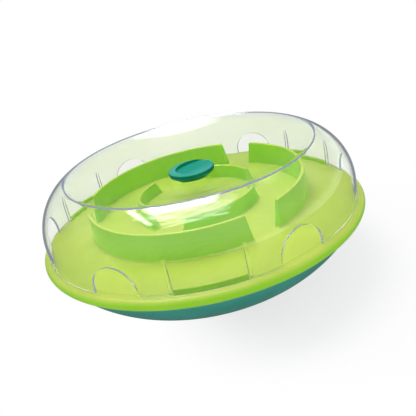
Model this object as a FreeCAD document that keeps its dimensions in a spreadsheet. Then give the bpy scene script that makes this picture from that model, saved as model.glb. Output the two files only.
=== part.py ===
import FreeCAD, Part
import math
import os
import re
import Sketcher
from FreeCAD import Placement, Rotation, Vector

# Treat bowl on a rounded base: a maze tray under a clear dome, with a plug in the dome's filling hole.
# Millimetres and degrees. Z is up, and the origin is on the axis, at the flat the bowl stands on.
# Heights are measured from that flat. Angles are measured round the axis, from +X towards +Y.

SIZES = [
    # Base
    ("base_wall", 2.6, "wall of the base shell"),
    ("base_flat_radius", 30.0, "small flat that the bowl stands on"),
    ("rocking_curve", 279.0, "radius of the curve that the bowl rocks on"),
    ("curve_change", 16.0, "angle from the axis at which a tighter curve carries on up to the lip"),
    ("base_edge_height", 53.8, "height of the base's upper edge"),
    ("base_edge_inset", 5.3, "how far the base's upper edge lies in from the rim"),
    ("tongue_wall", 2.0, "ring on the base's edge that fits up into the lip"),
    ("tongue_step", 1.0, "how far the tongue is set in from the base's outer face"),
    ("tongue_height", 6.2, "height of the tongue above the base's edge"),
    ("seam_gap", 0.3, "room round the tongue"),
    # Lip and floor of the tray
    ("rim_radius", 140.0, "outermost point of the lip"),
    ("lip_half", 4.6, "half the height of the lip"),
    ("lip_bevel", 2.7, "bevel of the lip's upper and lower edges"),
    ("lip_skirt_wall", 2.2, "ring inside the tongue"),
    ("floor_thickness", 2.4, "floor of the tray"),
    ("floor_curve", 1066.0, "radius of the crowned floor, which sheds food outwards"),
    ("floor_step", 0.4, "height of the floor's edge above the dome's seat"),
    # Maze walls
    ("maze_repeat", 3, "like walls in each ring"),
    ("outer_wall_radius", 92.5, "middle line of the outer ring"),
    ("outer_wall_top", 89.7, "height of the outer ring's top edge"),
    ("outer_wall_crown", 2.6, "thickness of the outer ring at its top"),
    ("outer_wall_foot", 5.0, "thickness of the outer ring at the floor"),
    ("outer_gap_angle", 18.5, "gap between two outer walls at their tops"),
    ("outer_end_slope", 2.2, "angle that an outer wall's end gains down to the floor"),
    ("outer_gap_turn", 60.0, "direction of a gap in the outer ring"),
    ("inner_wall_radius", 50.2, "middle line of the inner ring"),
    ("inner_wall_top", 83.6, "height of the inner ring's top edge"),
    ("inner_wall_crown", 2.8, "thickness of the inner ring at its top"),
    ("inner_wall_foot", 7.0, "thickness of the inner ring at the floor"),
    ("inner_gap_angle", 39.0, "gap between two inner walls at their tops"),
    ("inner_end_slope", 7.0, "angle that an inner wall's end gains down to the floor"),
    ("inner_gap_turn", -1.0, "direction of a gap in the inner ring"),
    # Lugs that key the dome to the tray
    ("lug_wall", 2.4, "thickness of a lug"),
    ("lug_height", 3.9, "height of a lug above the dome's seat"),
    ("lug_gap", 0.3, "room between a lug and the dome"),
    ("lug_turn", 30.0, "direction of a lug"),
    # Dome
    ("dome_foot_inset", 5.4, "how far the dome's foot stands in from the rim"),
    ("dome_wall", 2.0, "wall of the dome"),
    ("dome_fit", 0.7, "room between the floor's edge and the dome's foot"),
    ("dome_straight", 13.2, "straight part of the dome's side above its foot"),
    ("dome_curve", 45.1, "radius of the dome's shoulder"),
    ("crest_radius", 106.5, "radius of the sharp crest round the dished top"),
    ("dish_depth", 18.7, "depth of the dished top below the crest"),
    ("plug_seat_radius", 22.5, "flat round the filling hole"),
    ("fill_hole_radius", 15.8, "filling hole"),
    ("arch_count", 6, "arches in the dome's foot"),
    ("arch_width", 38.0, "width of an arch"),
    ("arch_leg", 3.7, "straight part of an arch's side"),
    ("rib_width", 2.3, "upright rib inside the dome"),
    ("rib_depth", 2.1, "how far a rib stands in from the dome's side"),
    ("rib_spread", 12.0, "angle from the middle of a lug to the ribs on either side of it"),
    ("rib_foot_gap", 0.5, "how far the ribs' feet stay above the floor's edge"),
    # Plug
    ("plug_radius", 19.8, "flange of the plug"),
    ("plug_flange", 4.6, "height of the flange"),
    ("plug_bevel", 0.8, "bevel of the flange"),
    ("scoop_radius", 18.6, "finger scoop in the top of the plug"),
    ("scoop_offset", 5.0, "how far the middle of the scoop lies from the plug's axis"),
    ("scoop_turn", -8.0, "direction in which it lies"),
    ("scoop_depth", 3.8, "depth at the scoop's back wall, from where its floor rises"),
    ("scoop_rise_turn", -55.0, "direction in which the scoop's floor rises to the flange's top"),
    ("scoop_rise_end", 1.0, "how far past the plug's axis it reaches the top"),
    ("plug_gap", 0.3, "room between the plug's neck and the filling hole"),
    ("plug_neck", 4.4, "length of the neck below the flange"),
    ("plug_neck_taper", 0.6, "how much the neck narrows towards its end"),
    # Screws that hold the base to the tray
    ("base_screw_count", 6, "screws through the base"),
    ("base_screw_circle", 66.0, "radius that these screws stand on"),
    ("well_top", 38.4, "height where a base well meets a tray pillar"),
    ("well_wall", 1.7, "wall of a base well"),
    ("well_web", 2.6, "web that the screw's head pulls against"),
    ("pillar_radius", 4.6, "pillar under the tray"),
    ("base_screw_length", 16.0, "length of a base screw below its head"),
    # Screws that hold the ballast
    ("ballast_radius", 34.0, "ballast plate"),
    ("ballast_thickness", 8.0, "ballast plate"),
    ("ballast_seat", 9.4, "height of the ballast's underside"),
    ("ballast_gap", 0.4, "room round the ballast"),
    ("ballast_fence_wall", 2.2, "ring that surrounds the ballast"),
    ("ballast_fence_rise", 4.0, "height of that ring above the ballast's underside"),
    ("ballast_screw_count", 3, "screws through the ballast"),
    ("ballast_screw_circle", 24.0, "radius that these screws stand on"),
    ("ballast_boss_radius", 4.6, "boss under the ballast"),
    ("ballast_screw_length", 14.0, "length of a ballast screw below its head"),
    # One size of screw
    ("screw_core", 1.45, "radius of the screw's body"),
    ("screw_grip", 0.05, "room between the screw's body and its pilot bore"),
    ("screw_pass_gap", 0.4, "room round the screw's body where it passes through"),
    ("screw_head_radius", 3.5, "radius of the screw's head"),
    ("screw_head_height", 2.4, "height of the screw's head"),
    ("screw_head_bevel", 0.9, "bevel of the screw's head"),
    ("screw_head_gap", 0.6, "room round the screw's head in its well"),
    ("screw_point", 2.0, "length of the screw's point"),
    ("pilot_spare", 1.0, "depth of a pilot bore past the screw's point"),
]

doc = FreeCAD.newDocument("TreatBowl")
sheet = doc.addObject("Spreadsheet::Sheet", "Sizes")
for row, (alias, number, meaning) in enumerate(SIZES, start=1):
    sheet.set(f"A{row}", alias)
    sheet.set(f"B{row}", str(number))
    sheet.set(f"C{row}", meaning)
    sheet.setAlias(f"B{row}", alias)
doc.recompute()

ALIASES = re.compile(r"\b(" + "|".join(alias for alias, _, _ in SIZES) + r")\b")
FULL_TURN = 360.0
LEVEL = 1e-4  # two heights nearer than this are the same height

# Faces inside the closed base are made of straight runs
ROCKING_RUNS = 2
SIDE_RUNS = 5
FLOOR_RUNS = 3


# Expressions

def tied(expression):
    """Give the sheet's name in front of each alias, as an expression on another object needs."""
    return ALIASES.sub(r"Sizes.\1", expression)


def size(expression):
    """Work out an expression's present value."""
    result = sheet.evalExpression(tied(expression))
    return float(getattr(result, "Value", result))


# Places that several pieces share

ROCKING_CENTRE = "sqrt(rocking_curve ^ 2 - base_flat_radius ^ 2)"
BASE_EDGE_RADIUS = "(rim_radius - base_edge_inset)"
SIDE_WIDTH = f"({BASE_EDGE_RADIUS} - rocking_curve * sin(curve_change))"
SIDE_RISE = f"(base_edge_height - {ROCKING_CENTRE} + rocking_curve * cos(curve_change))"
SIDE_CURVE = (f"(({SIDE_WIDTH} ^ 2 + {SIDE_RISE} ^ 2)"
              f" / (2 * ({SIDE_RISE} * cos(curve_change) - {SIDE_WIDTH} * sin(curve_change))))")
SIDE_CENTRE_RADIUS = f"((rocking_curve - {SIDE_CURVE}) * sin(curve_change))"
SIDE_CENTRE_HEIGHT = f"({ROCKING_CENTRE} - (rocking_curve - {SIDE_CURVE}) * cos(curve_change))"
LIP_HEIGHT = "(base_edge_height + lip_half)"
DOME_SEAT = f"({LIP_HEIGHT} + lip_half)"
DOME_FOOT = "(rim_radius - dome_foot_inset)"
FLOOR_EDGE_RADIUS = f"({DOME_FOOT} - dome_wall - dome_fit)"
FLOOR_EDGE_HEIGHT = f"({DOME_SEAT} + floor_step)"
FLOOR_CENTRE = f"({FLOOR_EDGE_HEIGHT} - sqrt(floor_curve ^ 2 - {FLOOR_EDGE_RADIUS} ^ 2))"
SHOULDER_CENTRE_RADIUS = f"({DOME_FOOT} - dome_curve)"
SHOULDER_CENTRE_HEIGHT = f"({DOME_SEAT} + dome_straight)"
CREST_HEIGHT = (f"({SHOULDER_CENTRE_HEIGHT}"
                f" + sqrt(dome_curve ^ 2 - (crest_radius - {SHOULDER_CENTRE_RADIUS}) ^ 2))")
PLUG_SEAT = f"({CREST_HEIGHT} - dish_depth)"
TONGUE_OUTER = f"({BASE_EDGE_RADIUS} - tongue_step)"
TONGUE_INNER = f"({TONGUE_OUTER} - tongue_wall)"
WELL_BORE = "(screw_head_radius + screw_head_gap)"
LUG_OUTER = f"({DOME_FOOT} - dome_wall - lug_gap)"


def floor_middle(radius):
    """Height of the middle of the tray's crowned floor, this far from the axis."""
    return f"({FLOOR_CENTRE} + sqrt((floor_curve - floor_thickness / 2) ^ 2 - ({radius}) ^ 2))"


# Sketches

def new_body(label):
    body = doc.addObject("PartDesign::Body", label)
    body.Label = label
    return body


def origin_part(body, role):
    """Find one of the body's own origin planes or axes."""
    return next(part for part in body.Origin.OriginFeatures if part.Role == role)


def new_sketch(body, name, role, lift=None, turn=None):
    """Start a sketch on an origin plane, lifted along its normal or turned about Z."""
    sketch = body.newObject("Sketcher::SketchObject", name)
    sketch.AttachmentSupport = [(origin_part(body, role), "")]
    sketch.MapMode = "FlatFace"
    if lift:
        sketch.setExpression("AttachmentOffset.Base.z", tied(lift))
    if turn:
        sketch.AttachmentOffset = Placement(Vector(), Rotation(Vector(0, 1, 0), size(turn)))
        sketch.setExpression("AttachmentOffset.Rotation.Angle", tied(turn))
    return sketch


def constrain(sketch, kind, *place, value):
    """Add a dimension that follows an expression."""
    index = sketch.addConstraint(Sketcher.Constraint(kind, *place, size(value)))
    sketch.setExpression(f"Constraints[{index}]", tied(value))


def tie_point(sketch, side, end, x, y):
    """Hold one end of a side at expressions of the sketch's own x and y."""
    for kind, axis, value in (("DistanceX", -2, x), ("DistanceY", -1, y)):
        if value == "0":
            sketch.addConstraint(Sketcher.Constraint("PointOnObject", side, end, axis))
        else:
            constrain(sketch, kind, -1, 1, side, end, value=value)


def arc_between(start, end, radius, turn):
    """Arc of under half a circle. turn is 1 where it bends left on its way, -1 where it bends right."""
    chord = end - start
    height = math.sqrt(radius ** 2 - (chord.Length / 2) ** 2)
    left = Vector(-chord.y, chord.x, 0).normalize()
    centre = (start + end) / 2 + left * height * turn
    angles = [math.atan2(point.y - centre.y, point.x - centre.x) for point in (start, end)]
    if turn < 0:
        angles.reverse()
    if angles[1] < angles[0]:
        angles[1] += 2 * math.pi
    return Part.ArcOfCircle(Part.Circle(centre, Vector(0, 0, 1), radius), *angles)


def outline(sketch, corners, arcs=None):
    """Draw a closed outline with every corner held by expressions.

    corners are (x, y) pairs. arcs gives the sides that bend: {side: (radius, turn)}, where side
    number n runs from corner n to the next one.
    """
    arcs = arcs or {}
    points = [Vector(size(x), size(y), 0) for x, y in corners]
    first = sketch.GeometryCount
    ends = []
    for side, start in enumerate(points):
        end = points[(side + 1) % len(points)]
        if side in arcs:
            radius, turn = arcs[side]
            sketch.addGeometry(arc_between(start, end, size(radius), turn), False)
            ends.append((1, 2) if turn > 0 else (2, 1))
        else:
            sketch.addGeometry(Part.LineSegment(start, end), False)
            ends.append((1, 2))
    for side in range(len(points)):
        after = (side + 1) % len(points)
        sketch.addConstraint(Sketcher.Constraint(
            "Coincident", first + side, ends[side][1], first + after, ends[after][0]))
    for side, (x, y) in enumerate(corners):
        tie_point(sketch, first + side, ends[side][0], x, y)
    for side, (radius, _) in arcs.items():
        constrain(sketch, "Radius", first + side, value=radius)


def circle(sketch, radius, x="0", y="0"):
    """Draw a circle."""
    side = sketch.addGeometry(
        Part.Circle(Vector(size(x), size(y), 0), Vector(0, 0, 1), size(radius)), False)
    tie_point(sketch, side, 3, x, y)
    constrain(sketch, "Radius", side, value=radius)


def ring_sector(sketch, inner, outer, half_angle, middle):
    """Draw a piece of a ring about the axis, this much to each side of its middle direction."""
    corners = []
    for radius, sign in ((inner, "-"), (inner, "+"), (outer, "+"), (outer, "-")):
        angle = f"({middle} {sign} ({half_angle}))"
        corners.append((f"({radius}) * cos{angle}", f"({radius}) * sin{angle}"))
    outline(sketch, corners, {0: (inner, 1), 2: (outer, -1)})


# Features

def revolve(body, name, sketch, axis=None, cut=False):
    """Turn a sketch about the Z axis, or about a line of its own."""
    kind = "PartDesign::Groove" if cut else "PartDesign::Revolution"
    feature = body.newObject(kind, name)
    feature.Profile = sketch
    feature.ReferenceAxis = (sketch, [axis or "V_Axis"])
    feature.Angle = FULL_TURN
    return feature


def extrude(body, name, sketch, length, cut=False, reverse=False, midplane=False):
    """Pad or pocket a sketch by an expression."""
    feature = body.newObject("PartDesign::Pocket" if cut else "PartDesign::Pad", name)
    feature.Profile = sketch
    feature.Reversed = reverse
    feature.Midplane = midplane
    feature.setExpression("Length", tied(length))
    return feature


def repeat(body, name, features, count):
    """Repeat features evenly round the Z axis."""
    pattern = body.newObject("PartDesign::PolarPattern", name)
    pattern.Originals = features
    pattern.Axis = (origin_part(body, "Z_Axis"), [""])
    pattern.Angle = FULL_TURN
    pattern.setExpression("Occurrences", tied(count))
    body.Tip = pattern
    return pattern


# Base shell: a deep saucer whose curve the bowl rocks on

def rocking_point(angle, inset="0"):
    """Corner on the rocking curve, this far from the axis as an angle at the curve's centre."""
    radius = f"(rocking_curve - {inset})"
    return f"{radius} * sin({angle})", f"{ROCKING_CENTRE} - {radius} * cos({angle})"


def side_point(angle, inset="0"):
    """Corner on the side curve, in the same way."""
    radius = f"({SIDE_CURVE} - {inset})"
    return (f"{SIDE_CENTRE_RADIUS} + {radius} * sin({angle})",
            f"{SIDE_CENTRE_HEIGHT} - {radius} * cos({angle})")


def cavity_corners():
    """Corners of the hollow: its straight runs keep the wall at least as thick as base_wall."""
    flat_end = f"(acos(({ROCKING_CENTRE} - base_wall) / (rocking_curve - base_wall)) / (1 deg))"
    side_end = f"(acos(({SIDE_CENTRE_HEIGHT} - base_edge_height) / ({SIDE_CURVE} - base_wall)) / (1 deg))"
    corners = [("0", "base_edge_height"), ("0", "base_wall")]
    for run in range(ROCKING_RUNS + 1):
        angle = f"{flat_end} + (curve_change - {flat_end}) * {run} / {ROCKING_RUNS}"
        corners.append(rocking_point(angle, "base_wall"))
    for run in range(1, SIDE_RUNS):
        angle = f"curve_change + ({side_end} - curve_change) * {run} / {SIDE_RUNS}"
        corners.append(side_point(angle, "base_wall"))
    corners.append((side_point(side_end, "base_wall")[0], "base_edge_height"))
    return corners


def base_shell():
    body = new_body("base_shell")

    flat_end = ("base_flat_radius", "0")
    meeting = rocking_point("curve_change")
    edge = (BASE_EDGE_RADIUS, "base_edge_height")

    outer = new_sketch(body, "base_outer_curve", "XZ_Plane")
    outline(outer, [("0", "0"), flat_end, meeting, edge, ("0", "base_edge_height")],
            {1: ("rocking_curve", 1), 2: (SIDE_CURVE, 1)})
    revolve(body, "base_solid", outer)

    cavity = new_sketch(body, "base_cavity", "XZ_Plane")
    outline(cavity, cavity_corners())
    revolve(body, "base_hollow", cavity, cut=True)

    tongue = new_sketch(body, "tongue_section", "XZ_Plane")
    tongue_top = "base_edge_height + tongue_height"
    outline(tongue, [(TONGUE_INNER, "base_edge_height"), (TONGUE_OUTER, "base_edge_height"),
                     (TONGUE_OUTER, tongue_top), (TONGUE_INNER, tongue_top)])
    revolve(body, "tongue_ring", tongue)

    fence = new_sketch(body, "fence_section", "XZ_Plane")
    fence_inner = "ballast_radius + ballast_gap"
    fence_outer = f"{fence_inner} + ballast_fence_wall"
    fence_top = "ballast_seat + ballast_fence_rise"
    outline(fence, [(fence_inner, "0"), (fence_outer, "0"), (fence_outer, fence_top),
                    (fence_inner, fence_top)])
    revolve(body, "ballast_fence", fence)

    boss = new_sketch(body, "ballast_boss_circle", "XY_Plane")
    circle(boss, "ballast_boss_radius", "ballast_screw_circle")
    boss_pad = extrude(body, "ballast_boss", boss, "ballast_seat")
    repeat(body, "ballast_bosses", [boss_pad], "ballast_screw_count")

    well = new_sketch(body, "well_circle", "XY_Plane")
    circle(well, f"{WELL_BORE} + well_wall", "base_screw_circle")
    well_pad = extrude(body, "well_post", well, "well_top")
    repeat(body, "well_posts", [well_pad], "base_screw_count")

    outside = new_sketch(body, "outside_region", "XZ_Plane")
    outline(outside, [flat_end, meeting, edge, (BASE_EDGE_RADIUS, "0")],
            {0: ("rocking_curve", 1), 1: (SIDE_CURVE, 1)})
    revolve(body, "trim_to_curve", outside, cut=True)

    bore = new_sketch(body, "well_bore_circle", "XY_Plane")
    circle(bore, WELL_BORE, "base_screw_circle")
    bore_cut = extrude(body, "well_bore", bore, "well_top - well_web", cut=True, reverse=True)
    repeat(body, "well_bores", [bore_cut], "base_screw_count")

    hole = new_sketch(body, "well_hole_circle", "XY_Plane")
    circle(hole, "screw_core + screw_pass_gap", "base_screw_circle")
    hole_cut = extrude(body, "well_hole", hole, "well_top", cut=True, reverse=True)
    repeat(body, "well_holes", [hole_cut], "base_screw_count")

    pilot = new_sketch(body, "ballast_pilot_circle", "XY_Plane", lift="ballast_seat")
    circle(pilot, "screw_core + screw_grip", "ballast_screw_circle")
    pilot_depth = "ballast_screw_length - ballast_thickness + pilot_spare"
    pilot_cut = extrude(body, "ballast_pilot", pilot, pilot_depth, cut=True)
    repeat(body, "ballast_pilots", [pilot_cut], "ballast_screw_count")
    return body


# Maze tray: lip, crowned floor, two rings of drafted walls, three lugs and the pillars below

def maze_wall(body, ring, crown_half_angle, middle):
    """Loft one drafted wall from inside the floor to its top, and repeat it round the tray."""
    radius = f"{ring}_wall_radius"
    sections = []
    for level, lift, thickness, half_angle in (
            ("foot", floor_middle(radius), f"{ring}_wall_foot", f"{crown_half_angle} + {ring}_end_slope"),
            ("crown", f"{ring}_wall_top", f"{ring}_wall_crown", crown_half_angle)):
        section = new_sketch(body, f"{ring}_wall_{level}_section", "XY_Plane", lift=lift)
        ring_sector(section, f"{radius} - {thickness} / 2", f"{radius} + {thickness} / 2",
                    half_angle, middle)
        sections.append(section)
    loft = body.newObject("PartDesign::AdditiveLoft", f"{ring}_wall")
    loft.Profile = sections[0]
    loft.Sections = sections[1:]
    loft.Ruled = True
    repeat(body, f"{ring}_walls", [loft], "maze_repeat")


def maze_tray():
    body = new_body("maze_tray")
    lip_bottom = "base_edge_height"
    groove_top = "base_edge_height + tongue_height + seam_gap"
    groove_outer = f"{TONGUE_OUTER} + seam_gap"
    groove_inner = f"{TONGUE_INNER} - seam_gap"
    skirt_inner = f"{groove_inner} - lip_skirt_wall"
    under_curve = "floor_curve - floor_thickness"

    def under_floor(radius):
        return f"{FLOOR_CENTRE} + sqrt(({under_curve}) ^ 2 - ({radius}) ^ 2)"

    underside = [f"({skirt_inner}) * {run} / {FLOOR_RUNS}" for run in range(1, FLOOR_RUNS + 1)]
    section = new_sketch(body, "tray_section", "XZ_Plane")
    outline(section, [
        (FLOOR_EDGE_RADIUS, FLOOR_EDGE_HEIGHT),
        ("0", f"{FLOOR_CENTRE} + floor_curve"),
        ("0", under_floor("0")),
        *((radius, under_floor(radius)) for radius in underside),
        (skirt_inner, lip_bottom),
        (groove_inner, lip_bottom),
        (groove_inner, groove_top),
        (groove_outer, groove_top),
        (groove_outer, lip_bottom),
        ("rim_radius - lip_bevel", lip_bottom),
        ("rim_radius", f"{lip_bottom} + lip_bevel"),
        ("rim_radius", f"{DOME_SEAT} - lip_bevel"),
        ("rim_radius - lip_bevel", DOME_SEAT),
        (FLOOR_EDGE_RADIUS, DOME_SEAT),
    ], {0: ("floor_curve", 1)})
    revolve(body, "tray_plate", section)

    maze_wall(body, "outer", "180 / maze_repeat - outer_gap_angle / 2",
              "outer_gap_turn + 180 / maze_repeat")
    maze_wall(body, "inner", "180 / maze_repeat - inner_gap_angle / 2",
              "inner_gap_turn + 180 / maze_repeat")

    lug_half_angle = f"rib_spread - atan((rib_width / 2 + lug_gap) / {LUG_OUTER}) / (1 deg)"
    lug_inner = f"{LUG_OUTER} - lug_wall"
    lug = new_sketch(body, "lug_section", "XY_Plane", lift=floor_middle(LUG_OUTER))
    ring_sector(lug, lug_inner, LUG_OUTER, lug_half_angle, "lug_turn")
    lug_pad = extrude(body, "lug", lug, f"{DOME_SEAT} + lug_height - {floor_middle(LUG_OUTER)}")
    repeat(body, "lugs", [lug_pad], "maze_repeat")

    pillar = new_sketch(body, "pillar_circle", "XY_Plane", lift="well_top")
    circle(pillar, "pillar_radius", "base_screw_circle")
    pillar_pad = extrude(body, "pillar", pillar, f"{floor_middle('base_screw_circle')} - well_top")
    repeat(body, "pillars", [pillar_pad], "base_screw_count")

    pilot = new_sketch(body, "pillar_pilot_circle", "XY_Plane", lift="well_top")
    circle(pilot, "screw_core + screw_grip", "base_screw_circle")
    pilot_cut = extrude(body, "pillar_pilot", pilot, "base_screw_length - well_web + pilot_spare",
                        cut=True, reverse=True)
    repeat(body, "pillar_pilots", [pilot_cut], "base_screw_count")
    return body


# Dome: a clear shell with a dished top, a filling hole, arches at its foot and keying ribs inside

def dome():
    body = new_body("dome")
    section = new_sketch(body, "dome_section", "XZ_Plane")
    dish_curve = ("sqrt(crest_radius ^ 2 + ((crest_radius ^ 2 - plug_seat_radius ^ 2 - dish_depth ^ 2)"
                  " / (2 * dish_depth)) ^ 2)")
    outline(section, [
        ("0", DOME_SEAT),
        (DOME_FOOT, DOME_SEAT),
        (DOME_FOOT, SHOULDER_CENTRE_HEIGHT),
        ("crest_radius", CREST_HEIGHT),
        ("plug_seat_radius", PLUG_SEAT),
        ("0", PLUG_SEAT),
    ], {2: ("dome_curve", 1), 3: (dish_curve, -1)})
    solid = revolve(body, "dome_solid", section)
    doc.recompute()

    hollow = body.newObject("PartDesign::Thickness", "dome_hollow")
    foot = next(f"Face{number}" for number, face in enumerate(solid.Shape.Faces, start=1)
                if face.BoundBox.ZMax < size(DOME_SEAT) + LEVEL)
    hollow.Base = (solid, [foot])
    hollow.Reversed = True
    hollow.Join = "Intersection"
    hollow.setExpression("Value", tied("dome_wall"))
    body.Tip = hollow

    hole = new_sketch(body, "fill_hole_circle", "XY_Plane", lift=PLUG_SEAT)
    circle(hole, "fill_hole_radius")
    extrude(body, "fill_hole", hole, "2 * dome_wall", cut=True)

    rib_inner = f"({DOME_FOOT} - dome_wall - rib_depth)"
    rib_curve = "(dome_curve - dome_wall / 2)"
    rib_outer = f"({SHOULDER_CENTRE_RADIUS} + {rib_curve})"
    rib_foot = f"{FLOOR_EDGE_HEIGHT} + rib_foot_gap"
    rib_top = (f"{SHOULDER_CENTRE_HEIGHT}"
               f" + sqrt({rib_curve} ^ 2 - ({rib_inner} - {SHOULDER_CENTRE_RADIUS}) ^ 2)")
    for side, sign in (("right", "+"), ("left", "-")):
        rib = new_sketch(body, f"{side}_rib_section", "XZ_Plane", turn=f"lug_turn {sign} rib_spread")
        outline(rib, [(rib_inner, rib_foot), (rib_outer, rib_foot),
                      (rib_outer, SHOULDER_CENTRE_HEIGHT), (rib_inner, rib_top)],
                {2: (rib_curve, 1)})
        rib_pad = extrude(body, f"{side}_rib", rib, "rib_width", midplane=True)
        repeat(body, f"{side}_ribs", [rib_pad], "maze_repeat")

    arch = new_sketch(body, "arch_section", "YZ_Plane")
    spring = f"{DOME_SEAT} + arch_leg"
    outline(arch, [("-arch_width / 2", DOME_SEAT), ("arch_width / 2", DOME_SEAT),
                   ("arch_width / 2", spring), ("0", f"{spring} + arch_width / 2"),
                   ("-arch_width / 2", spring)],
            {2: ("arch_width / 2", 1), 3: ("arch_width / 2", 1)})
    arch_cut = extrude(body, "arch", arch, "rim_radius", cut=True, reverse=True)
    repeat(body, "arches", [arch_cut], "arch_count")
    return body


# Plug: a flange with a finger scoop, and a neck that drops into the filling hole

def fill_plug():
    body = new_body("fill_plug")
    neck_radius = "(fill_hole_radius - plug_gap)"
    flange_top = f"({PLUG_SEAT} + plug_flange)"
    neck_bottom = f"({PLUG_SEAT} - plug_neck)"
    section = new_sketch(body, "plug_section", "XZ_Plane")
    outline(section, [
        ("0", neck_bottom),
        (f"{neck_radius} - plug_neck_taper", neck_bottom),
        (neck_radius, PLUG_SEAT),
        ("plug_radius - plug_bevel", PLUG_SEAT),
        ("plug_radius", f"{PLUG_SEAT} + plug_bevel"),
        ("plug_radius", f"{flange_top} - plug_bevel"),
        ("plug_radius - plug_bevel", flange_top),
        ("0", flange_top),
    ])
    revolve(body, "plug_solid", section)

    ahead = "(scoop_offset * cos(scoop_turn - scoop_rise_turn))"
    aside = "scoop_offset * sin(scoop_turn - scoop_rise_turn)"
    slope = f"(atan(scoop_depth / (scoop_rise_end + scoop_radius - {ahead})) / (1 deg))"
    scoop = new_sketch(body, "scoop_circle", "XY_Plane")
    for path, value in (("Base.x", "scoop_rise_end * cos(scoop_rise_turn)"),
                        ("Base.y", "scoop_rise_end * sin(scoop_rise_turn)"), ("Base.z", flange_top),
                        ("Rotation.Yaw", "scoop_rise_turn"), ("Rotation.Pitch", f"-{slope}")):
        scoop.setExpression(f"AttachmentOffset.{path}", tied(value))
    circle(scoop, "scoop_radius", f"({ahead} - scoop_rise_end) / cos({slope})", aside)
    extrude(body, "finger_scoop", scoop, "plug_flange", cut=True, reverse=True)
    return body


# Ballast: a steel plate low in the base, which brings the bowl upright again

def ballast_weight():
    body = new_body("ballast_weight")
    disc = new_sketch(body, "ballast_circle", "XY_Plane", lift="ballast_seat")
    circle(disc, "ballast_radius")
    extrude(body, "ballast_plate", disc, "ballast_thickness")
    hole = new_sketch(body, "ballast_hole_circle", "XY_Plane", lift="ballast_seat")
    circle(hole, "screw_core + screw_pass_gap", "ballast_screw_circle")
    hole_cut = extrude(body, "ballast_hole", hole, "ballast_thickness", cut=True, reverse=True)
    repeat(body, "ballast_holes", [hole_cut], "ballast_screw_count")
    return body


# Screws: one pattern of pan-head screws for each place, all of one size but for their length

def screw_set(label, circle_radius, count, seat, length, points_up):
    """Turn one screw about its own axis and repeat it round the bowl."""
    body = new_body(label)
    ahead, behind = ("+", "-") if points_up else ("-", "+")
    head = f"{seat} {behind} screw_head_height"
    neck = f"{seat} {ahead} ({length} - screw_point)"
    point = f"{seat} {ahead} {length}"
    section = new_sketch(body, f"{label}_section", "XZ_Plane")
    outline(section, [
        (circle_radius, head),
        (f"{circle_radius} + screw_head_radius - screw_head_bevel", head),
        (f"{circle_radius} + screw_head_radius", f"{head} {ahead} screw_head_bevel"),
        (f"{circle_radius} + screw_head_radius", seat),
        (f"{circle_radius} + screw_core", seat),
        (f"{circle_radius} + screw_core", neck),
        (circle_radius, point),
    ])
    ends = [Vector(size(circle_radius), size(height), 0) for height in (head, point)]
    middle = section.addGeometry(Part.LineSegment(*ends), True)
    tie_point(section, middle, 1, circle_radius, head)
    tie_point(section, middle, 2, circle_radius, point)
    turned = revolve(body, f"{label}_turned", section, axis="Axis0")
    repeat(body, f"{label}_pattern", [turned], count)
    return body


def base_screws():
    return screw_set("base_screws", "base_screw_circle", "base_screw_count",
                     "(well_top - well_web)", "base_screw_length", points_up=True)


def ballast_screws():
    return screw_set("ballast_screws", "ballast_screw_circle", "ballast_screw_count",
                     "(ballast_seat + ballast_thickness)", "ballast_screw_length", points_up=False)


# Build, check and export

pieces = [base_shell(), ballast_weight(), ballast_screws(), maze_tray(), base_screws(), dome(),
          fill_plug()]
doc.recompute()

for item in doc.Objects:
    if "Invalid" in item.State or "Error" in item.State:
        raise RuntimeError(f"{item.Label} failed: {item.State}")

os.makedirs("parts", exist_ok=True)
for piece in pieces:
    shape = piece.Shape
    if shape.isNull() or not shape.isValid():
        raise RuntimeError(f"{piece.Label} has no valid solid")
    shape.exportStep(f"parts/{piece.Label}.step")
    box = shape.BoundBox
    print(f"{piece.Label}: {len(shape.Solids)} solid(s), {shape.Volume:.0f} mm3, "
          f"X {box.XMin:.1f}..{box.XMax:.1f}, Z {box.ZMin:.1f}..{box.ZMax:.1f}")
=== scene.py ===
import math

import bmesh
import bpy
from mathutils import Matrix, Vector


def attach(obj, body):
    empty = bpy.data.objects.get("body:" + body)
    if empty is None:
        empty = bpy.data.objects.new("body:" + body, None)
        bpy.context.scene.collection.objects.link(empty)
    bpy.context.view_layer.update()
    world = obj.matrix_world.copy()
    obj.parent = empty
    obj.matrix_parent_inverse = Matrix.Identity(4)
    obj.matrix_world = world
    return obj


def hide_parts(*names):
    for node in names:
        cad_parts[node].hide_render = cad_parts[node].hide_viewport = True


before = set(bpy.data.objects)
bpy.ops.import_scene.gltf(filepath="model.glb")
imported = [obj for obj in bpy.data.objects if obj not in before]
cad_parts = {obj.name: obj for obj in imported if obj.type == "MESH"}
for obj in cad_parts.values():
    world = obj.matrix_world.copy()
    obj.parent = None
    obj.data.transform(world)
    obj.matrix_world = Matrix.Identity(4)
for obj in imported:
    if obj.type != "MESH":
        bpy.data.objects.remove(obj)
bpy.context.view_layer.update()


# Base shell: the moulded saucer that the bowl rocks on, with six wells for the screws.
# Satin teal plastic in one piece. A tongue on its edge fits up into the tray's lip, and
# inside it a low ring and three bosses hold the ballast plate.

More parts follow.
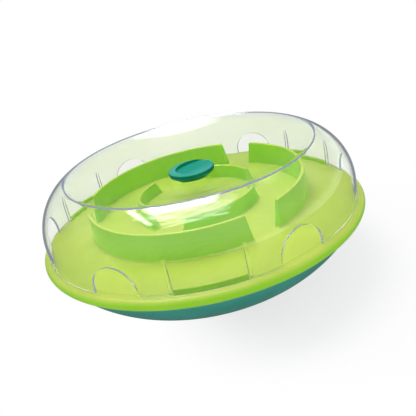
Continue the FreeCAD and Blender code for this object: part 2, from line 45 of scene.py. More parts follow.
class Result:
    """One output of a shader node, which works in plain expressions."""

    def __init__(self, look, socket):
        self.look = look
        self.socket = socket

    def maths(self, operation, *others):
        """Put this and the other values through one Math node."""
        return self.look.maths(operation, self, *others)

    def __add__(self, other):
        return self.maths("ADD", other)

    def __sub__(self, other):
        return self.maths("SUBTRACT", other)

    def __rsub__(self, other):
        return self.look.maths("SUBTRACT", other, self)

    def __mul__(self, other):
        return self.maths("MULTIPLY", other)

    def __truediv__(self, other):
        return self.maths("DIVIDE", other)

    def __rtruediv__(self, other):
        return self.look.maths("DIVIDE", other, self)

    __radd__ = __add__
    __rmul__ = __mul__

    def rise(self, low, high):
        """Rise softly from 0 to 1 as this goes from low to high."""
        values = {"Value": self, "From Min": low, "From Max": high}
        return self.look.node("MapRange", values, interpolation_type="SMOOTHSTEP")


class Look:
    """The nodes of a material, or of the surround."""

    def __init__(self, owner):
        owner.use_nodes = True
        self.owner = owner
        self.tree = owner.node_tree
        self.tree.nodes.clear()

    def node(self, kind, values=None, out=0, **settings):
        """Add a node with these settings and inputs, and give one of its outputs."""
        added = self.tree.nodes.new("ShaderNode" + kind)
        for name, setting in settings.items():
            setattr(added, name, setting)
        for name, value in (values or {}).items():
            if isinstance(value, Result):
                self.tree.links.new(value.socket, added.inputs[name])
            else:
                added.inputs[name].default_value = value
        return Result(self, added.outputs[out] if added.outputs else None)

    def maths(self, operation, *values):
        """Put values through one Math node."""
        return self.node("Math", dict(enumerate(values)), operation=operation)

    def place(self):
        """The point on the piece, in metres."""
        return self.node("TexCoord", out="Object")

    def split(self, vector):
        """Give a vector's X, Y and Z."""
        node = self.node("SeparateXYZ", {"Vector": vector}).socket.node
        return [Result(self, socket) for socket in node.outputs]

    def noise(self, scale, detail, stretch=(1.0, 1.0, 1.0)):
        """Noise between 0 and 1, with this many spots to a metre."""
        place = self.node("Mapping", {"Vector": self.place(), "Scale": stretch})
        return self.node("TexNoise", {"Vector": place, "Scale": scale, "Detail": detail}, out="Fac")

    def blend(self, factor, first, second):
        """Mix two colours, which are inputs 6 and 7 and output 2 of the Mix node."""
        return self.node("Mix", {0: factor, 6: first, 7: second}, out=2, data_type="RGBA")

    def cloudy(self, mottle, dark, light):
        """Two close tones of a colour in soft clouds, each as seen on a screen."""
        return self.blend(mottle.rise(0.35, 0.7), paint(*dark), paint(*light))

    def bump(self, height, distance, strength):
        return self.node("Bump", {"Height": height, "Distance": distance, "Strength": strength})

    def plastic(self, **values):
        """Add the surface shader. Its inputs are given in lower case with underscores."""
        return self.node("BsdfPrincipled", {name.replace("_", " ").title().replace("Ior", "IOR"): value
                                            for name, value in values.items()})

    def mix(self, factor, first, second):
        """Mix two shaders."""
        return self.node("MixShader", {0: factor, 1: first, 2: second})

    def surface(self, shader, output="OutputMaterial"):
        """Show this shader, and give the material."""
        self.node(output, {"Surface": shader})
        return self.owner


def paint(red, green, blue):
    """Turn a colour as seen on a screen, 0 to 255, into the one a shader takes."""
    linear = [(c / 12.92 if c <= 0.04045 else ((c + 0.055) / 1.055) ** 2.4)
              for c in (red / 255, green / 255, blue / 255)]
    return (*linear, 1.0)


class Section:
    """A line drawn in the XZ plane in millimetres, to be turned round an axis or filled."""

    def __init__(self, x, z):
        self.mesh = bmesh.new()
        self.start = bmesh.ops.create_vert(self.mesh, co=(x, 0, z))["vert"][0]
        self.end = self.start

    def line(self, *corners):
        """Carry the line on through these (x, z) corners."""
        for x, z in corners:
            self.end = bmesh.ops.extrude_vert_indiv(self.mesh, verts=[self.end])["verts"][0]
            self.end.co = (x, 0, z)
        return self

    def arc(self, x, z, degrees, steps):
        """Carry the line round a centre, from +X towards +Z where degrees is positive."""
        grown = bmesh.ops.spin(self.mesh, geom=[self.end], cent=(x, 0, z), axis=(0, -1, 0),
                               angle=math.radians(degrees), steps=steps)
        self.end = corners_of(grown["geom_last"])[0]
        return self

    def turned(self, steps, x=0.0):
        """Turn the line round the upright axis through x, into a closed skin."""
        bmesh.ops.spin(self.mesh, geom=self.mesh.verts[:] + self.mesh.edges[:], cent=(x, 0, 0),
                       axis=(0, 0, 1), angle=2 * math.pi, steps=steps, use_merge=True)
        return closed(self.mesh)

    def filled(self):
        """Close the line and fill it with a face."""
        self.mesh.edges.new((self.end, self.start))
        return bmesh.ops.contextual_create(self.mesh, geom=self.mesh.edges[:])["faces"]


def corners_of(geometry):
    """Give the vertices among the vertices, edges and faces that an operator made."""
    return [item for item in geometry if isinstance(item, bmesh.types.BMVert)]


def closed(mesh):
    """Merge the vertices that meet, drop edges that bear no face and turn every face outwards."""
    bmesh.ops.remove_doubles(mesh, verts=mesh.verts[:], dist=1e-4)
    bmesh.ops.delete(mesh, geom=[edge for edge in mesh.edges if edge.is_wire], context="EDGES")
    bmesh.ops.recalc_face_normals(mesh, faces=mesh.faces[:])
    return mesh


def piece(name, mesh, sharp=32):
    """Make an object from a mesh in millimetres, smooth but for edges sharper than this angle."""
    bmesh.ops.scale(mesh, vec=(0.001, 0.001, 0.001), verts=mesh.verts[:])
    made = bpy.data.objects.new(name, bpy.data.meshes.new(name))
    mesh.to_mesh(made.data)
    mesh.free()
    bpy.context.scene.collection.objects.link(made)
    smooth(made, sharp)
    return made


def smooth(made, sharp):
    """Shade a piece smooth but for edges sharper than this angle."""
    made.data.shade_smooth()
    made.data.set_sharp_from_angle(angle=math.radians(sharp))


def combine(made, mesh, operation, sharp=32):
    """Cut a mesh out of a piece, or join it on."""
    other = piece("other", mesh)
    modifier = made.modifiers.new("combine", "BOOLEAN")
    modifier.operation = operation
    modifier.object = other
    modifier.solver = "EXACT"
    bpy.context.view_layer.update()
    shown = made.evaluated_get(bpy.context.evaluated_depsgraph_get())
    result = bpy.data.meshes.new_from_object(shown)
    made.modifiers.clear()
    made.data = result
    smooth(made, sharp)
    bpy.data.objects.remove(other)


def round_the_axis(mesh, count, apart=None):
    """Repeat a mesh round the Z axis, evenly or with this angle between two copies."""
    apart = apart or 2 * math.pi / count
    bmesh.ops.spin(mesh, geom=mesh.verts[:] + mesh.edges[:] + mesh.faces[:], cent=(0, 0, 0),
                   axis=(0, 0, 1), angle=apart * (count - 1), steps=count - 1, use_duplicate=True)
    return mesh


def turn(mesh, angle, axis="Z", centre=(0, 0, 0)):
    """Turn a mesh about an axis."""
    bmesh.ops.rotate(mesh, verts=mesh.verts[:], cent=centre, matrix=Matrix.Rotation(angle, 3, axis))


def rod(x, *lengths, sides=48):
    """An upright rod at x on the X axis. Each length is a radius and the heights that it spans.

    It is turned by half a side, so that no corner falls on an edge of what it is joined to."""
    section = Section(x, lengths[0][1])
    for radius, low, high in lengths:
        section.line((x + radius, low), (x + radius, high))
    mesh = section.line((x, lengths[-1][2])).turned(sides, x)
    turn(mesh, math.pi / sides, centre=(x, 0, 0))
    return mesh


def add(mesh, other):
    """Put another mesh into this one."""
    holder = bpy.data.meshes.new("holder")
    other.to_mesh(holder)
    other.free()
    mesh.from_mesh(holder)
    bpy.data.meshes.remove(holder)


def dress(made, material, body, slot, *nodes):
    """Give a piece its material, tie it to its body and hide the CAD nodes that it stands for. The slot is
    not used.
    """
    made.data.materials.clear()
    made.data.materials.append(material)
    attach(made, body)
    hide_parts(*nodes)


flat_radius = 30.0
rocking_radius = 279.0
side_start = 16.0
base_wall = 2.6
base_edge = 53.8
base_edge_radius = 134.7
edge_drop = 0.5
edge_inset = 0.4
tongue = (131.7, 133.7)
tongue_top = 60.0
tongue_bevel = 0.5
fence = (34.4, 36.6)
fence_top = 13.4

# The flat runs on into the rocking curve, and that at side_start degrees into a tighter side curve
rocking_z = math.sqrt(rocking_radius ** 2 - flat_radius ** 2)
side_sin = math.sin(math.radians(side_start))
side_cos = math.cos(math.radians(side_start))
side_width = base_edge_radius - rocking_radius * side_sin
side_rise = base_edge - rocking_z + rocking_radius * side_cos
side_radius = (side_width ** 2 + side_rise ** 2) / (2 * (side_rise * side_cos - side_width * side_sin))
side_x = (rocking_radius - side_radius) * side_sin
side_z = rocking_z - (rocking_radius - side_radius) * side_cos


def up_to(height, radius):
    """Angle from straight down at which a side curve of this radius reaches a height."""
    return math.degrees(math.acos((side_z - height) / radius))


def inner_turn(radius):
    """Angle from straight down at which the inner face is this far from the axis."""
    return math.degrees(math.asin(radius / (rocking_radius - base_wall)))


def inner_height(radius, depth=base_wall):
    """Height of the inner face, or of a face at another depth, at this distance from the axis."""
    return rocking_z - math.sqrt((rocking_radius - depth) ** 2 - radius ** 2)


outer_side = up_to(base_edge - edge_drop, side_radius) - side_start
inner_end = up_to(base_edge, side_radius - base_wall)
inner_edge_x = side_x + math.sin(math.radians(inner_end)) * (side_radius - base_wall)
flat_angle = math.degrees(math.asin(flat_radius / rocking_radius))
inner_flat = math.degrees(math.acos((rocking_z - base_wall) / (rocking_radius - base_wall)))

# The line runs up the outside, over the tongue, down the inside and over the ring
skin = Section(0, 0).line((flat_radius, 0))
skin.arc(0, rocking_z, side_start - flat_angle, 12)
skin.arc(side_x, side_z, outer_side, 40)
skin.line((skin.end.co.x - edge_inset, base_edge), (tongue[1], base_edge),
          (tongue[1], tongue_top - tongue_bevel), (tongue[1] - tongue_bevel, tongue_top),
          (tongue[0] + tongue_bevel, tongue_top), (tongue[0], tongue_top - tongue_bevel),
          (inner_edge_x, base_edge))
skin.arc(side_x, side_z, side_start - inner_end, 24)
skin.arc(0, rocking_z, inner_turn(fence[1]) - side_start, 7)
skin.line((fence[1], fence_top), (fence[0], fence_top), (fence[0], inner_height(fence[0])))
skin.arc(0, rocking_z, inner_flat - inner_turn(fence[0]), 1)
skin.line((0, base_wall))
base_shell = piece("base_shell_moulding", skin.turned(240))

# The bosses and the posts of the wells start in the middle of the wall that they stand on
ballast_circle = 24.0
ballast_seat = 9.4
boss_radius = 4.6
well_circle = 66.0
well_top = 38.4
well_radius = 5.8
standing = round_the_axis(rod(ballast_circle, (boss_radius, base_wall / 2, ballast_seat)), 3)
posts = round_the_axis(rod(well_circle, (well_radius, 0, well_top)), 6)
for vertex in posts.verts:
    if vertex.co.z < 1:
        vertex.co.z = inner_height(math.hypot(vertex.co.x, vertex.co.y), base_wall / 2)
add(standing, posts)
combine(base_shell, standing, "UNION")

# A well has a bore for the screw's head and above it a hole for the shank. A boss has a pilot bore
head_seat = 35.8
bore_radius = 4.1
shank_hole = 1.85
pilot_radius = 1.5
pilot_depth = 7.0
well = rod(well_circle, (bore_radius, 0, head_seat), (shank_hole, head_seat, well_top + 2))
pilot = rod(ballast_circle, (pilot_radius, ballast_seat - pilot_depth, ballast_seat + 1), sides=24)
bores = round_the_axis(well, 6)
add(bores, round_the_axis(pilot, 3))
combine(base_shell, bores, "DIFFERENCE")

look = Look(bpy.data.materials.new("teal_plastic"))
height = look.split(look.place())[2]
mottle = look.noise(35.0, 4.0)
grain = look.noise(1500.0, 2.0)
teal = look.cloudy(mottle, (38, 140, 124), (46, 150, 134))
# Towards its top edge, under the lip, the teal is painted paler and bluer: a painted highlight.
teal = look.blend(height.rise(0.046, 0.0535), teal, paint(58, 150, 150))
base_plastic = look.surface(look.plastic(
    base_color=teal, roughness=0.36 + 0.1 * grain, ior=1.33,
    normal=look.bump(grain, 0.0001, 0.35)))
dress(base_shell, base_plastic, "tray_base", "base_plastic", "base_shell")


# Maze tray: rounded lip, crowned floor, two rings of drafted walls, three lugs and six pillars.
# Glossy lime plastic in one piece. The clear dome stands on its lip, keyed by the lugs.

rim = 140.0
lip_half = 4.6
lip_x = rim - lip_half
lip_z = base_edge + lip_half
seat = base_edge + 2 * lip_half
floor_edge = 131.6
floor_radius = 1066.0
floor_lift = 0.4
floor_thickness = 2.4
floor_z = seat + floor_lift - math.sqrt(floor_radius ** 2 - floor_edge ** 2)
under_radius = floor_radius - floor_thickness
groove = (131.4, 134.0)
groove_top = 60.3
skirt = 129.2


def floor_height(x):
    """Height of the floor's upper face at this distance from the axis."""
    return floor_z + math.sqrt(floor_radius ** 2 - x ** 2)


# The floor steps down softly onto the flat top of the lip, whose outside is half round
plate = Section(0, floor_height(0))
plate.arc(0, floor_z, -math.degrees(math.asin((floor_edge - 0.3) / floor_radius)), 16)
plate.line((floor_edge, seat + 0.15), (floor_edge + 0.2, seat), (lip_x, seat))
plate.arc(lip_x, lip_z, -180, 24)
plate.line((groove[1], base_edge), (groove[1], groove_top), (groove[0], groove_top),
           (groove[0], base_edge), (skirt, base_edge),
           (skirt, floor_z + math.sqrt(under_radius ** 2 - skirt ** 2)))
plate.arc(0, floor_z, math.degrees(math.asin(skirt / under_radius)), 12)
tray_mesh = plate.turned(256)


def curved_bar(section, half_turn, steps):
    """Sweep a section round the axis, to both sides of where it is drawn."""
    faces = section.filled()
    turn(section.mesh, -half_turn)
    bmesh.ops.spin(section.mesh, geom=faces, cent=(0, 0, 0), axis=(0, 0, 1), angle=2 * half_turn,
                   steps=steps)
    return closed(section.mesh)


def round_edges(mesh, above, width, segments):
    """Round the edges sharper than 0.6 radians that reach above this height."""
    edges = [edge for edge in mesh.edges
             if edge.calc_face_angle(0) > 0.6 and max(v.co.z for v in edge.verts) > above]
    bmesh.ops.bevel(mesh, geom=edges, offset=width, segments=segments, profile=0.5, affect="EDGES",
                    material=-1, clamp_overlap=True)


wall_rounding = 0.9
wall_fillet = 1.0


def maze_walls(radius, crown, foot, top, gap, end_slope, gap_turn):
    """Add a ring of three drafted walls with rounded tops and filleted feet. Angles are in degrees."""
    bottom = floor_height(radius) - floor_thickness / 2
    half_turn = math.radians(60 - gap / 2)
    section = Section(radius - foot / 2, bottom)
    section.line((radius + foot / 2, bottom), (radius + crown / 2, top), (radius - crown / 2, top))
    wall = curved_bar(section, half_turn, round(math.degrees(half_turn)))

    # The ends lean, so each height reaches a little further round than the one above it
    for vertex in wall.verts:
        depth = (top - vertex.co.z) / (top - bottom)
        angle = math.atan2(vertex.co.y, vertex.co.x) / half_turn * math.radians(end_slope) * depth
        vertex.co.rotate(Matrix.Rotation(angle, 3, "Z"))
    round_edges(wall, bottom + 0.1, wall_rounding, 4)

    # The foot spreads into the floor in a hollow curve, cut into rows
    level = floor_height(radius)
    for row in (1.0, 0.6, 0.35, 0.15, 0.02):
        bmesh.ops.bisect_plane(wall, geom=wall.verts[:] + wall.edges[:] + wall.faces[:],
                               plane_co=(0, 0, level + wall_fillet * row), plane_no=(0, 0, 1))
    wall.normal_update()
    for vertex in wall.verts:
        above = max(vertex.co.z - level, 0.0)
        if above < wall_fillet:
            spread = wall_fillet - math.sqrt(wall_fillet ** 2 - (wall_fillet - above) ** 2)
            vertex.co += Vector((vertex.normal.x, vertex.normal.y, 0)).normalized() * spread

    turn(wall, math.radians(gap_turn + 60))
    add(tray_mesh, round_the_axis(wall, 3))


outer_top = 89.7
inner_top = 83.6
maze_walls(radius=92.5, crown=2.6, foot=5.0, top=outer_top, gap=18.5, end_slope=2.2, gap_turn=60.0)
maze_walls(radius=50.2, crown=2.8, foot=7.0, top=inner_top, gap=39.0, end_slope=7.0, gap_turn=-1.0)

lug_x = (129.6, 132.0)
lug_z = (61.5, 66.9)
lug_middle = math.radians(30)
lug_half_turn = math.radians(11.3)
lug_rounding = 0.8
lug_section = Section(lug_x[0], lug_z[0])
lug_section.line((lug_x[1], lug_z[0]), (lug_x[1], lug_z[1]), (lug_x[0], lug_z[1]))
lug = curved_bar(lug_section, lug_half_turn, 20)
round_edges(lug, lug_z[0] + 0.5, lug_rounding, 3)
turn(lug, lug_middle)
add(tray_mesh, round_the_axis(lug, 3))

pillar_radius = 4.6
pillar_bevel = 0.2
pillar_bore = 1.5
bore_top = well_top + 17
pillar_top = floor_height(well_circle) - 1.2
pillar_side = well_circle + pillar_radius
pillar = Section(well_circle + pillar_bore, bore_top)
pillar.line((well_circle + pillar_bore, well_top), (pillar_side - pillar_bevel, well_top),
            (pillar_side, well_top + pillar_bevel), (pillar_side, pillar_top),
            (well_circle, pillar_top), (well_circle, bore_top), (well_circle + pillar_bore, bore_top))
add(tray_mesh, round_the_axis(pillar.turned(36, well_circle), 6))
maze_tray = piece("maze_tray_moulding", tray_mesh)


def facing_up(look):
    """How far the surface faces up: 1 on a level top, 0 on an upright wall."""
    return look.split(look.node("NewGeometry", out="Normal"))[2]


look = Look(bpy.data.materials.new("lime_plastic"))
mottle = look.noise(28.0, 4.0)
grain = look.noise(1800.0, 2.0)
# Faces that point up are painted a paler, yellower lime than upright ones, which are a deeper green:
# painted light and shade from above.
upright = look.cloudy(mottle, (150, 213, 36), (158, 217, 44))
level = look.cloudy(mottle, (184, 204, 82), (190, 208, 90))
# Just below each wall's top the lime is painted paler still: a painted highlight along the crowns.
between_rings = 0.06
x, y, z = look.split(look.place())
inner_ring = (x * x + y * y).maths("LESS_THAN", between_rings ** 2)
wall_top = outer_top / 1000 - (outer_top - inner_top) / 1000 * inner_ring
level = look.blend((z - wall_top).rise(-0.0012, -0.0003), level, paint(192, 208, 90))
tray_plastic = look.surface(look.plastic(
    base_color=look.blend(facing_up(look).rise(0.25, 0.95), upright, level),
    roughness=0.24 + 0.1 * grain, ior=1.46,
    subsurface_weight=0.12, subsurface_radius=(1.0, 1.0, 0.3), subsurface_scale=0.003,
    normal=look.bump(grain, 0.0001, 0.2)))
dress(maze_tray, tray_plastic, "tray_base", "tray_plastic", "maze_tray")


# Dome: the clear cover with a dished top, a filling hole, six arches at its foot and six ribs.
# Clear glossy plastic in one piece. It stands on the lip and lifts off.

dome_radius = 134.6
dome_wall = 2.0
dome_curve = 45.1
dome_foot = seat + 0.15
foot_bevel = 0.5
shoulder_x = dome_radius - dome_curve
shoulder_z = seat + 13.2
crest_x = 106.5
crest_end = crest_x - 1.2
plug_seat = 99.27
plug_flat = 22.5
filling_hole = 15.8
hole_bevel = 0.4
dish_z = 398.36
dish_radius = 299.93

# The crest is softened from one degree before it to crest_end, where the dish starts
crest_turn = math.degrees(math.acos((crest_x - shoulder_x) / dome_curve))
crest_z = shoulder_z + math.sqrt(dome_curve ** 2 - (crest_x - shoulder_x) ** 2)
dish_start = math.asin(crest_end / dish_radius)

# On the inside, the shoulder and the dish meet in one sharp line
inner_curve = dome_curve - dome_wall
inner_dish = dish_radius + dome_wall
reach = math.hypot(shoulder_x, dish_z - shoulder_z)
lean = math.atan2(dish_z - shoulder_z, -shoulder_x)
meet = lean - math.acos((inner_curve ** 2 + reach ** 2 - inner_dish ** 2) / (2 * inner_curve * reach))
inner_crest_x = shoulder_x + inner_curve * math.cos(meet)
under_seat = plug_seat - dome_wall
inner_flat_x = math.sqrt(inner_dish ** 2 - (dish_z - under_seat) ** 2)


def along_dish(near, far, radius):
    """Degrees from one distance from the axis to another on a dish of this radius."""
    return math.degrees(math.asin(far / radius) - math.asin(near / radius))


shell = Section(dome_radius - dome_wall + foot_bevel, dome_foot)
shell.line((dome_radius - foot_bevel, dome_foot), (dome_radius, dome_foot + foot_bevel),
           (dome_radius, shoulder_z))
shell.arc(shoulder_x, shoulder_z, crest_turn - 1.0, 40)
shell.line((crest_x - 0.5, crest_z - 0.05))
shell.line((dish_radius * math.sin(dish_start), dish_z - dish_radius * math.cos(dish_start)))
shell.arc(0, dish_z, along_dish(crest_end, plug_flat, dish_radius), 32)
shell.line((filling_hole + hole_bevel, plug_seat), (filling_hole, plug_seat - hole_bevel),
           (filling_hole, under_seat + hole_bevel), (filling_hole + hole_bevel, under_seat),
           (inner_flat_x, under_seat))
shell.arc(0, dish_z, along_dish(inner_flat_x, inner_crest_x, inner_dish), 32)
shell.arc(shoulder_x, shoulder_z, -math.degrees(meet), 40)
shell.line((dome_radius - dome_wall, dome_foot + foot_bevel),
           (dome_radius - dome_wall + foot_bevel, dome_foot))
dome_shell = piece("dome_moulding", shell.turned(256))


def slab(section, thickness):
    """Fill a section and make it this thick, half to each side of its plane."""
    faces = section.filled()
    bmesh.ops.translate(section.mesh, verts=section.mesh.verts[:], vec=(0, -thickness / 2, 0))
    grown = bmesh.ops.extrude_face_region(section.mesh, geom=faces)
    bmesh.ops.translate(section.mesh, verts=corners_of(grown["geom"]), vec=(0, thickness, 0))
    return closed(section.mesh)


# A rib reaches half way into the wall. Two stand beside each lug, one on either side
rib_foot = seat + 0.9
rib_thickness = 2.3
rib_inner = dome_radius - dome_wall - 2.1
rib_outer = dome_radius - dome_wall / 2
rib_top = shoulder_z + math.sqrt((rib_outer - shoulder_x) ** 2 - (rib_inner - shoulder_x) ** 2)
from_lug = math.radians(12)
rib = Section(rib_inner, rib_foot)
rib.line((rib_outer, rib_foot), (rib_outer, shoulder_z), (rib_inner, rib_top))
ribs = slab(rib, rib_thickness)
turn(ribs, lug_middle - from_lug)
round_the_axis(ribs, 2, 2 * from_lug)
combine(dome_shell, round_the_axis(ribs, 3), "UNION")

# An arch is cut by a slab that stands across the dome's foot
arch_half = 19.0
arch_foot = seat - 3
arch_spring = seat + 3.7
arch_reach = (120, 145)
arch = Section(arch_half, arch_foot).line((arch_half, arch_spring))
arch.arc(0, arch_spring, 180, 48).line((-arch_half, arch_foot))
arches = slab(arch, arch_reach[1] - arch_reach[0])
turn(arches, math.pi / 2)
bmesh.ops.translate(arches, verts=arches.verts[:], vec=((arch_reach[0] + arch_reach[1]) / 2, 0, 0))
combine(dome_shell, round_the_axis(arches, 6), "DIFFERENCE")

look = Look(bpy.data.materials.new("clear_plastic"))
scuffs = look.noise(90.0, 5.0, (1.0, 1.0, 0.35))
ripple = look.noise(14.0, 2.0)
edge = look.node("LayerWeight", {"Blend": 0.5}, out="Facing")
body_tint = look.blend(ripple.rise(0.3, 0.7), (0.94, 0.97, 0.87, 1), (0.955, 0.98, 0.90, 1))
glass = look.plastic(
    base_color=look.blend(edge.rise(0.85, 0.99), body_tint, (0.82, 0.88, 0.80, 1)),
    roughness=0.015 + 0.03 * scuffs.rise(0.5, 0.8), ior=1.49, transmission_weight=1.0,
    normal=look.bump(ripple, 0.0006, 0.25))

# Where a ray has been mirrored more than once inside the plastic, the dome glows a fixed blue-grey: painted
# light that stands in for light trapped in an edge and draws a thin line along the edges
bounces = look.node("LightPath", out="Glossy Depth")
line = look.node("Emission", {"Color": (0.30, 0.35, 0.46, 1), "Strength": 1.0})
glass = look.mix(bounces.maths("GREATER_THAN", 1.0), glass, line)

# Where the surface is seen at a low angle it is clear, without a mirror image of the ceiling.
# On its inner faces this stays below the angle at which all light is mirrored
clear = look.node("BsdfRefraction", {"Color": (0.95, 0.97, 0.94, 1), "IOR": 1.49, "Roughness": 0.0})
inside = look.node("NewGeometry", out="Backfacing")
grazing = ((1.0 - inside) * edge.rise(0.45, 0.68)
           + 0.4 * inside * edge.rise(0.13, 0.21) * (1.0 - edge.rise(0.25, 0.26)))
glass = look.mix(grazing, glass, clear)

# The lamp's light passes the dome almost undimmed
shadow_ray = look.node("LightPath", out="Is Shadow Ray")
shade = look.node("BsdfTransparent", {"Color": (0.97, 0.99, 0.97, 1)})
clear_plastic = look.surface(look.mix(shadow_ray, glass, shade))
dress(dome_shell, clear_plastic, "dome", "clear_plastic", "dome")


# Filling plug: a flanged stopper with a finger scoop, pulled out to fill the bowl.
# Soft teal rubber in one piece, held in the dome's hole by its own neck.

plug_radius = 19.8
plug_rounding = 1.3
flange_top = plug_seat + 4.6
neck_radius = 15.5
neck_end = plug_seat - 4.4

# The flange has a small groove round its side
stopper = Section(0, neck_end)
stopper.line((neck_radius - 1.1, neck_end), (neck_radius - 0.6, neck_end + 0.5), (neck_radius, plug_seat),
             (plug_radius - 1.4, plug_seat), (plug_radius - 0.9, plug_seat + 0.2),
             (plug_radius - 0.5, plug_seat + 0.6), (plug_radius - 0.5, plug_seat + 1.1),
             (plug_radius - 0.9, plug_seat + 1.3), (plug_radius - 0.9, plug_seat + 1.5),
             (plug_radius - 0.2, plug_seat + 1.7), (plug_radius, plug_seat + 2.1),
             (plug_radius, flange_top - plug_rounding))
stopper.arc(plug_radius - plug_rounding, flange_top - plug_rounding, 90, 8)
stopper.line((0, flange_top))
fill_plug = piece("fill_plug_moulding", stopper.turned(160), 40)

# The scoop is a round pan, off the middle of the plug and tipped so that its floor rises to the
# flange's top at rise_end, in the direction rise_turn
scoop_radius = 18.6
scoop_corner = 2.0
scoop_height = 12.0
scoop_offset = 5.0
scoop_turn = math.radians(-8)
scoop_depth = 3.8
rise_turn = math.radians(-55)
rise_end = 1.0
ahead = scoop_offset * math.cos(scoop_turn - rise_turn)
aside = scoop_offset * math.sin(scoop_turn - rise_turn)
scoop_slope = math.atan(scoop_depth / (rise_end + scoop_radius - ahead))
pan = Section(0, 0).line((scoop_radius - scoop_corner, 0))
pan.arc(scoop_radius - scoop_corner, scoop_corner, 90, 8)
pan.line((scoop_radius, scoop_height), (0, scoop_height))
scoop = pan.turned(120)
bmesh.ops.translate(scoop, verts=scoop.verts[:], vec=(ahead - rise_end, aside, 0))
turn(scoop, -scoop_slope, "Y")
bmesh.ops.translate(scoop, verts=scoop.verts[:], vec=(rise_end, 0, flange_top))
turn(scoop, rise_turn)
combine(fill_plug, scoop, "DIFFERENCE", 40)
rounding = fill_plug.modifiers.new("rounded_edges", "BEVEL")
rounding.width = 0.0008
rounding.segments = 3
rounding.limit_method = "ANGLE"
rounding.angle_limit = math.radians(35)

# The hollow of the scoop is painted a deeper tone than the brim round it and the end of its rise: painted
# shade in the recess, with the brim painted paler as a painted reflection.
# Upright faces are painted darker and level faces lighter: painted shade and light from above
look = Look(bpy.data.materials.new("teal_rubber"))
mottle = look.noise(70.0, 4.0)
grain = look.noise(2600.0, 2.0)
upright = look.cloudy(mottle, (0, 122, 86), (0, 130, 94))
level = look.cloudy(mottle, (58, 154, 140), (66, 162, 148))
shaded_hollow = look.cloudy(mottle, (0, 140, 120), (0, 148, 128))
x, y = look.split(look.place())[:2]
brim = (x * x + y * y).maths("SQRT").rise(0.0172, 0.0188)
x = x - math.cos(scoop_turn) * scoop_offset / 1000
y = y - math.sin(scoop_turn) * scoop_offset / 1000
brim = brim + (x * x + y * y).maths("SQRT").rise(0.0165, 0.0185)
brim = brim + (x * math.cos(rise_turn) + y * math.sin(rise_turn)).rise(-0.002, 0.018)
facing = facing_up(look)
level = look.blend(brim.maths("MINIMUM", 1.0) * facing.rise(0.7, 0.9), shaded_hollow, level)
plug_rubber = look.surface(look.plastic(
    base_color=look.blend(facing.rise(0.3, 0.95), upright, level), roughness=0.36 + 0.12 * grain,
    ior=1.2, normal=look.bump(grain, 0.0001, 0.3)))
dress(fill_plug, plug_rubber, "plug", "plug_rubber", "fill_plug")

# The plug casts no shadow, which would darken the maze and the dome's crest
fill_plug.visible_shadow = False


# Base screws: six pan-head screws that hold the shell to the tray's pillars.
# Zinc-plated steel with a cross recess, sunk in the wells.

head_radius = 3.5
head_height = 2.4
shank_radius = 1.45
thread_root = 1.1
thread_crest = 1.42
thread_pitch = 1.1
thread_start = 0.4
plain_end = 2.0
recess = (3.6, 0.75, 2.6)


def screws(name, x, count, under_head, length, ahead):
    """Screws round the axis, with their points up where ahead is 1 and down where it is -1."""
    head_top = under_head - ahead * head_height
    profile = Section(x, head_top)
    profile.line((x + 2.4, head_top), (x + 3.1, head_top + ahead * 0.4),
                 (x + head_radius, head_top + ahead * 1.2), (x + head_radius, under_head),
                 (x + shank_radius, under_head))
    for number in range(round((length - plain_end) / thread_pitch)):
        low = under_head + ahead * (thread_start + number * thread_pitch)
        profile.line((x + thread_root, low), (x + thread_crest, low + ahead * 0.3),
                     (x + thread_root, low + ahead * 0.6))
    profile.line((x, under_head + ahead * length))
    screw = piece(name, profile.turned(40, x))
    for angle in (0, math.pi / 2):
        bar = bmesh.new()
        bmesh.ops.create_cube(bar, size=1.0)
        bmesh.ops.scale(bar, vec=recess, verts=bar.verts[:])
        turn(bar, angle)
        bmesh.ops.translate(bar, verts=bar.verts[:], vec=(x, 0, head_top))
        combine(screw, bar, "DIFFERENCE")
    copies = bmesh.new()
    copies.from_mesh(screw.data)
    bmesh.ops.scale(copies, vec=(1000, 1000, 1000), verts=copies.verts[:])
    bpy.data.objects.remove(screw)
    return piece(name, round_the_axis(copies, count))


def steel(name, dark, light, roughness, scale):
    """Zinc-plated steel with a faint cloudy sheen and fine marks."""
    look = Look(bpy.data.materials.new(name))
    cloud = look.noise(scale, 4.0)
    marks = look.noise(scale * 18, 2.0, (1.0, 1.0, 6.0))
    return look.surface(look.plastic(
        base_color=look.blend(cloud.rise(0.3, 0.7), paint(*dark), paint(*light)), metallic=1.0,
        roughness=roughness + 0.15 * marks, normal=look.bump(marks, 0.00005, 0.4)))


base_screws = screws("base_screws_plated", well_circle, 6, head_seat, 16.0, 1)
screw_steel = steel("screw_steel", (160, 160, 164), (196, 196, 200), 0.25, 120.0)
dress(base_screws, screw_steel, "tray_base", "screw_steel", "base_screws")


# Ballast screws: three shorter screws of the same kind, which hold the ballast plate on its bosses.
# Zinc-plated steel, driven down through the plate before the tray closes the base.

ballast_top = 17.4
ballast_screws = screws("ballast_screws_plated", ballast_circle, 3, ballast_top, 14.0, -1)
dress(ballast_screws, screw_steel, "tray_base", "screw_steel", "ballast_screws")


# Ballast plate: the round steel weight that brings the bowl upright again.
# Zinc-plated plate, punched with three holes, sealed inside the base.

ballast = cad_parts["ballast_weight"]
ballast.data.materials.clear()
ballast.data.materials.append(steel("ballast_steel", (118, 118, 122), (156, 156, 160), 0.35, 60.0))


# Camera: a little above the bowl, tipped so that the bowl leans to the left as it rocks.
# The bowl itself stands upright on the floor.

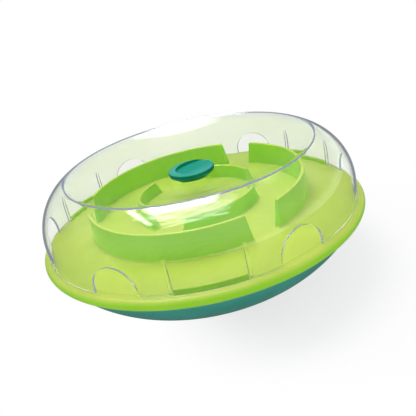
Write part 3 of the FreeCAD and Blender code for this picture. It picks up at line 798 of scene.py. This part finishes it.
elevation = math.radians(23.39)
tilt = math.radians(-12.83)
sideways = math.radians(1.2)
rim_centre = Vector((0, 0, 0.0584))
rim_seen_at = Vector((-0.0054, -0.0060, -0.5015))
stand = Matrix.Rotation(sideways, 3, "Z") @ Matrix.Rotation(math.pi / 2 - elevation, 3, "X")
stand = stand @ Matrix.Rotation(tilt, 3, "Z")
camera = bpy.data.objects.new("camera", bpy.data.cameras.new("camera"))
camera.data.lens = 49.02
camera.matrix_world = Matrix.Translation(rim_centre - stand @ rim_seen_at) @ stand.to_4x4()
bpy.context.scene.collection.objects.link(camera)
bpy.context.scene.camera = camera


# Studio: one soft box overhead, a plain white surround and a pale floor.
# Reflections show lit panels on a dim ceiling in place of the surround.

box_place = Vector((-0.15, 0.1, 1.2))
box_aim = Vector((0, 0, 0.08))
soft_box = bpy.data.objects.new("overhead", bpy.data.lights.new("overhead", "AREA"))
soft_box.data.size = 0.7
soft_box.data.energy = 5.0
soft_box.location = box_place
soft_box.rotation_euler = (box_aim - box_place).to_track_quat("-Z", "Y").to_euler()
soft_box.visible_glossy = False
bpy.context.scene.collection.objects.link(soft_box)


def by_ray(look, lighting, seen, mirrored, share=1.0):
    """One shader lights the bowl, one is seen, also through the dome, and one shows in reflections."""
    direct = look.node("LightPath", out="Is Camera Ray") + look.node("LightPath", out="Is Transmission Ray")
    bounces = look.node("LightPath", out="Glossy Depth")
    straight = look.mix(direct.maths("MINIMUM", 1.0) * share, lighting, seen)
    return look.mix(bounces.maths("MINIMUM", 1.0), straight, mirrored)


def sky(look, strength):
    """White light from all round."""
    return look.node("Background", {"Color": (1, 1, 1, 1), "Strength": strength})


world = bpy.data.worlds.new("surround")
bpy.context.scene.world = world
look = Look(world)
x, y, z = look.split(look.place())
upwards = z.maths("MAXIMUM", 0.02)
across = x / upwards
along = y / upwards
streaks = look.noise(3.0, 4.0, (2.0, 14.0, 1.0)).rise(0.4, 0.65)


def between(value, low, high, soft):
    """1 between two limits, fading softly to 0 past them."""
    return value.rise(low - soft, low + soft) * (1.0 - value.rise(high - soft, high + soft))


def panel(left, right, front, back, soft=0.04):
    """A lit patch of the ceiling, in distances for a ceiling at height 1."""
    return between(across, left, right, soft) * between(along, front, back, soft)


ceiling = (16.0 * panel(-0.34, 0.09, 0.15, 0.62)
           + 12.0 * panel(-0.49, -0.44, -0.20, 0.50, 0.03)
           + 8.0 * panel(-0.40, 0.26, -0.40, 0.15) * streaks
           + 5.0 * panel(-0.10, 0.10, 0.72, 0.84)
           + 2.0 * panel(0.32, 0.55, 0.30, 0.62, 0.1) * streaks
           + (0.08 + 0.3 * streaks) * (1.0 - along.rise(-0.6, -0.3))
           + 0.5 * (1.0 - along.rise(0.5, 1.4)) * z.rise(0.05, 0.6)
           + 0.8 * across.rise(2.5, 9.0))

# The panels show in a first mirror image only, not in images of images
first_image = look.node("LightPath", out="Glossy Depth").maths("LESS_THAN", 1.5)
reflected = sky(look, 0.26 + ceiling * first_image)
look.surface(by_ray(look, sky(look, 0.8), sky(look, 1.0), reflected), "OutputWorld")

ground = bmesh.new()
bmesh.ops.create_circle(ground, cap_ends=True, radius=4000, segments=64)
floor = piece("floor", ground)
look = Look(bpy.data.materials.new("floor"))
beside_bowl = (0.14, -0.02, 0)
away = look.node("VectorMath", {0: look.place(), 1: beside_bowl}, out="Value", operation="DISTANCE")
matt = look.node("BsdfDiffuse", {"Color": (0.93, 0.93, 0.93, 1)})
glow = look.node("Emission", {"Color": (1, 1, 1, 1), "Strength": 1.0})
dim = look.node("Emission", {"Color": (1, 1, 1, 1), "Strength": 0.25})

# Beside the bowl a quarter of what is seen of the floor is its matt surface, which holds the
# shadow. Further off the floor is plain white
whiteness = 0.74 + 0.26 * away.rise(0.12, 0.21)
floor.data.materials.append(look.surface(by_ray(look, matt, glow, dim, whiteness)))

bpy.context.scene.view_settings.view_transform = "Standard"
